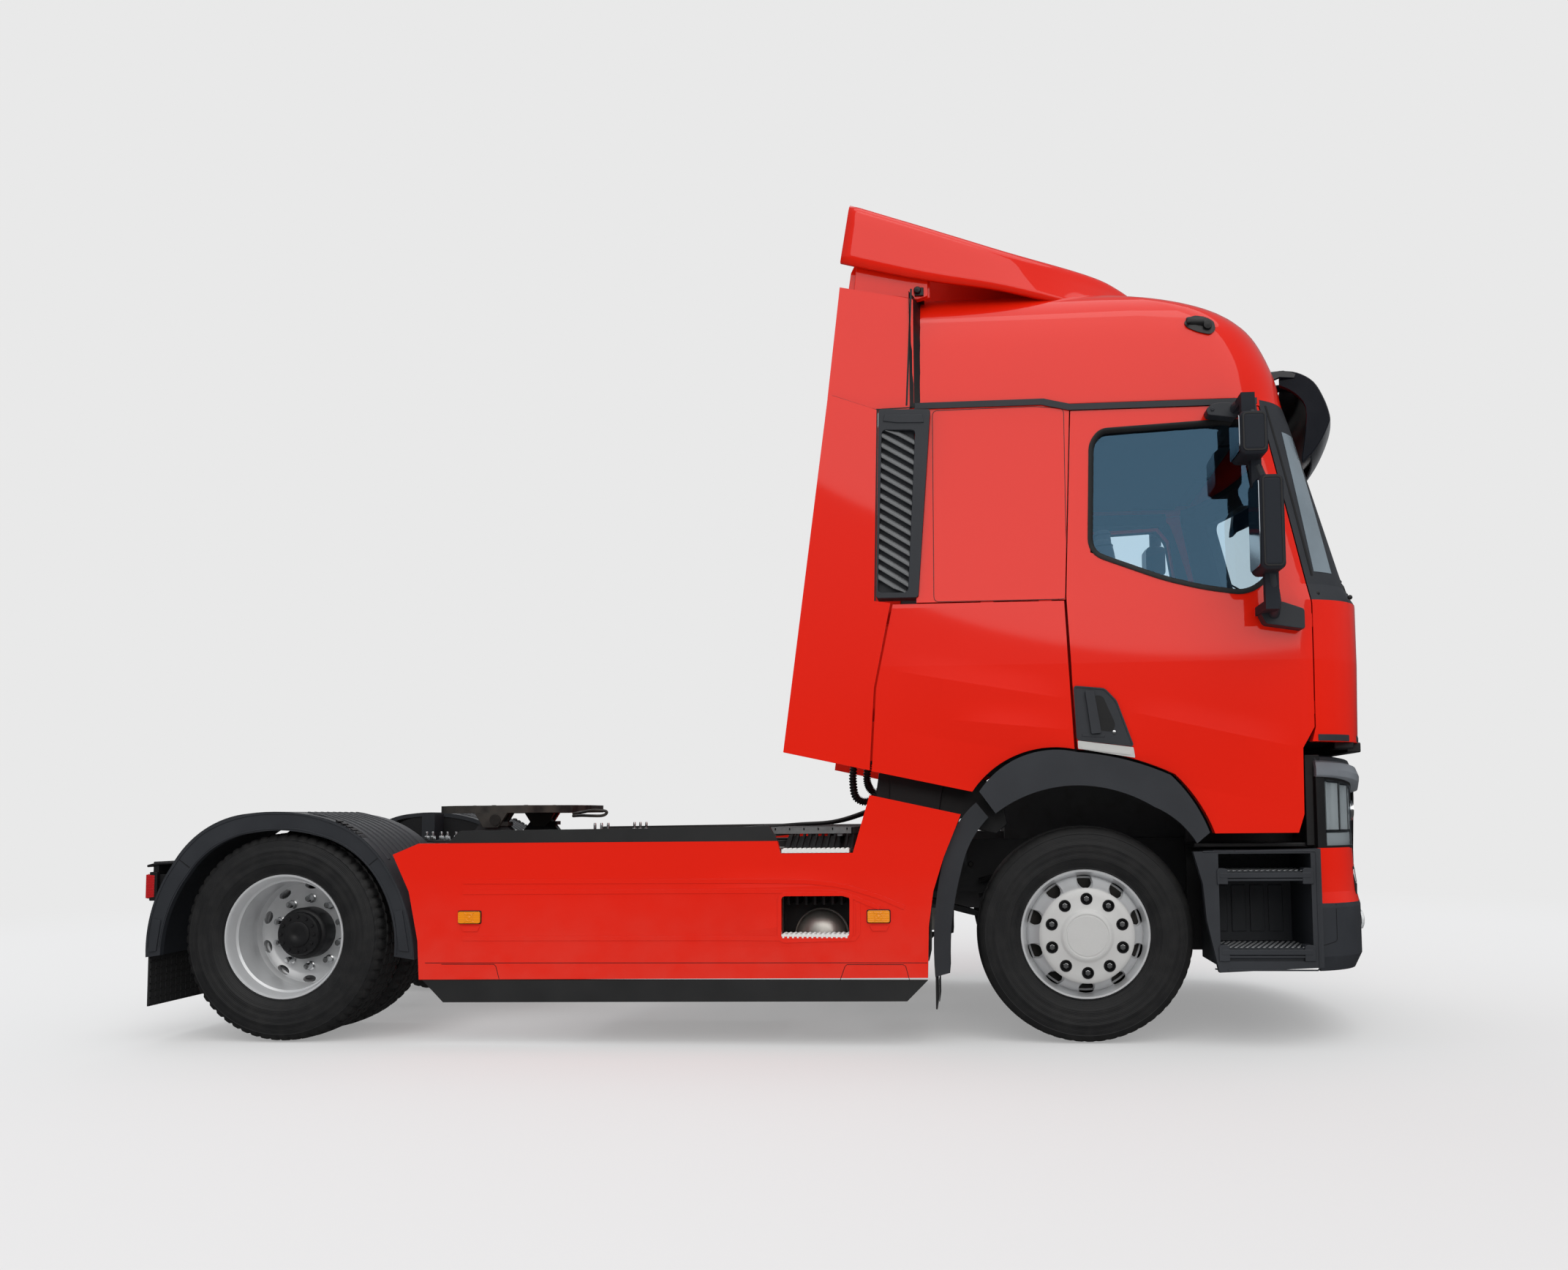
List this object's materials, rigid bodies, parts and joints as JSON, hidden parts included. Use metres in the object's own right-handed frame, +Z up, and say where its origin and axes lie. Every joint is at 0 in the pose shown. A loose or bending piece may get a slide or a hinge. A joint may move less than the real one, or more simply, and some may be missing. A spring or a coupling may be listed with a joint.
{
  "type": "two-axle semi truck tractor unit",
  "caption": "Road tractor with a high-roof sleeper cab that tilts, hinged doors and lids, steered front wheels, twin rear wheels and a rocking coupling plate for a semitrailer.",
  "frame": {"origin": "on the ground under the middle of the vehicle's length and width", "axes": "+X forward, +Y to the left, +Z up"},
  "size_m": [6, 3.12, 4.0254],
  "materials": {
    "frame_black": "satin black",
    "engine_grey": "dull",
    "tank_silver": "brushed",
    "red_paint": "gloss red",
    "dark_plastic": "moulded, dark blue-grey",
    "grating": "rolled",
    "rubber": "matte",
    "lamp_glass": "clear lens over dark chrome",
    "floor_dark": "matte",
    "greased_steel": "greased",
    "glass": "clear",
    "tyre": "matte",
    "wheel_silver": "silver lacquer"
  },
  "bodies": {
    "chassis": {"bumper": "dark_plastic", "corner_panels": "red_paint", "crossmembers": "frame_black", "fifth_wheel_base": "frame_black", "frame_rails": "frame_black", "front_axle": "frame_black", "front_mudguards": "dark_plastic", "headlight_brows": "dark_plastic", "headlights": "lamp_glass", "mudflaps": "rubber", "powertrain": "engine_grey", "rear_axle": "frame_black", "rear_fenders": "dark_plastic", "side_trims": "dark_plastic", "skirts": "red_paint", "steps": "dark_plastic", "suspension": "frame_black", "tail_lamps": "lamp_glass", "tanks": "tank_silver", "walkway": "grating"},
    "cab": {"cab_back_wall": "red_paint", "cab_sides": "red_paint", "cab_roof": "red_paint", "cab_floor": "floor_dark", "front_panel": "red_paint", "windscreen_surround": "dark_plastic", "windscreen": "glass", "cab_side_trims": "dark_plastic", "rear_grilles": "dark_plastic", "side_deflectors": "red_paint", "roof_deflector": "red_paint", "sun_visor": "dark_plastic", "dashboard": "dark_plastic", "seats": "dark_plastic", "bunk": "dark_plastic"},
    "door_right": {"door_right": "red_paint", "door_window_right": "glass"},
    "door_left": {"door_left": "red_paint", "door_window_left": "glass"},
    "locker_lid_right": {"locker_lid_right": "red_paint"},
    "locker_lid_left": {"locker_lid_left": "red_paint"},
    "service_flap": {"service_flap": "red_paint"},
    "steering_wheel": {"steering_wheel": "dark_plastic"},
    "knuckle_right": {"knuckle_right": "frame_black"},
    "knuckle_left": {"knuckle_left": "frame_black"},
    "tie_rod": {"tie_rod": "frame_black"},
    "front_wheel_right": {"front_tyre_right": "tyre", "front_wheel_right": "wheel_silver"},
    "front_wheel_left": {"front_tyre_left": "tyre", "front_wheel_left": "wheel_silver"},
    "rear_wheels_right": {"rear_tyres_right": "tyre", "rear_wheel_right": "wheel_silver"},
    "rear_wheels_left": {"rear_tyres_left": "tyre", "rear_wheel_left": "wheel_silver"},
    "fifth_wheel": {"fifth_wheel_plate": "greased_steel"}
  },
  "joints": [
    {"name": "cab_tilt", "type": "hinge", "parent": "chassis", "child": "cab", "pos_m": [2.8, 0, 0.95], "axis": [0, 1, 0], "range_deg": [0, 60]},
    {"name": "door_right_hinge", "type": "hinge", "parent": "cab", "child": "door_right", "pos_m": [2.587, -1.222, 1.8], "axis": [0, 0, 1], "range_deg": [0, 70]},
    {"name": "door_left_hinge", "type": "hinge", "parent": "cab", "child": "door_left", "pos_m": [2.587, 1.222, 1.8], "axis": [0, 0, -1], "range_deg": [0, 70]},
    {"name": "locker_right_hinge", "type": "hinge", "parent": "cab", "child": "locker_lid_right", "pos_m": [1.2, -1.217, 2.046], "axis": [-1, 0, 0], "range_deg": [0, 80]},
    {"name": "locker_left_hinge", "type": "hinge", "parent": "cab", "child": "locker_lid_left", "pos_m": [1.2, 1.217, 2.046], "axis": [1, 0, 0], "range_deg": [0, 80]},
    {"name": "service_flap_hinge", "type": "hinge", "parent": "cab", "child": "service_flap", "pos_m": [2.998, 0, 2.003], "axis": [0, -1, 0], "range_deg": [0, 90]},
    {"name": "steering_wheel_turn", "type": "hinge", "parent": "cab", "child": "steering_wheel", "pos_m": [2.42, 0.56, 2.04], "axis": [-0.5736, 0, 0.8192], "range_deg": [-720, 720]},
    {"name": "steer_left", "type": "hinge", "parent": "chassis", "child": "knuckle_left", "pos_m": [1.54, 0.87, 0.5], "axis": [0, 0, 1], "range_deg": [-40, 40]},
    {"name": "steer_right", "type": "hinge", "parent": "chassis", "child": "knuckle_right", "pos_m": [1.54, -0.87, 0.5], "axis": [0, 0, 1], "range_deg": [-40, 40]},
    {"name": "tie_rod_pivot", "type": "hinge", "parent": "knuckle_left", "child": "tie_rod", "pos_m": [1.35, 0.8, 0.4], "axis": [0, 0, 1], "range_deg": [-40, 40]},
    {"name": "front_wheel_right_spin", "type": "hinge", "parent": "knuckle_right", "child": "front_wheel_right", "pos_m": [1.54, -1, 0.5], "axis": [0, 1, 0], "continuous": true},
    {"name": "front_wheel_left_spin", "type": "hinge", "parent": "knuckle_left", "child": "front_wheel_left", "pos_m": [1.54, 1, 0.5], "axis": [0, 1, 0], "continuous": true},
    {"name": "rear_wheels_right_spin", "type": "hinge", "parent": "chassis", "child": "rear_wheels_right", "pos_m": [-2.28, -1.09, 0.5], "axis": [0, 1, 0], "continuous": true},
    {"name": "rear_wheels_left_spin", "type": "hinge", "parent": "chassis", "child": "rear_wheels_left", "pos_m": [-2.28, 1.09, 0.5], "axis": [0, 1, 0], "continuous": true},
    {"name": "fifth_wheel_rock", "type": "hinge", "parent": "chassis", "child": "fifth_wheel", "pos_m": [-1.545, 0, 1.04], "axis": [0, 1, 0], "range_deg": [-12, 12]}
  ],
  "couplings": [
    {"joint": "steer_right", "follows": "steer_left", "ratio": 1},
    {"joint": "tie_rod_pivot", "follows": "steer_left", "ratio": -1},
    {"joint": "steering_wheel_turn", "follows": "steer_left", "ratio": 18}
  ]
}
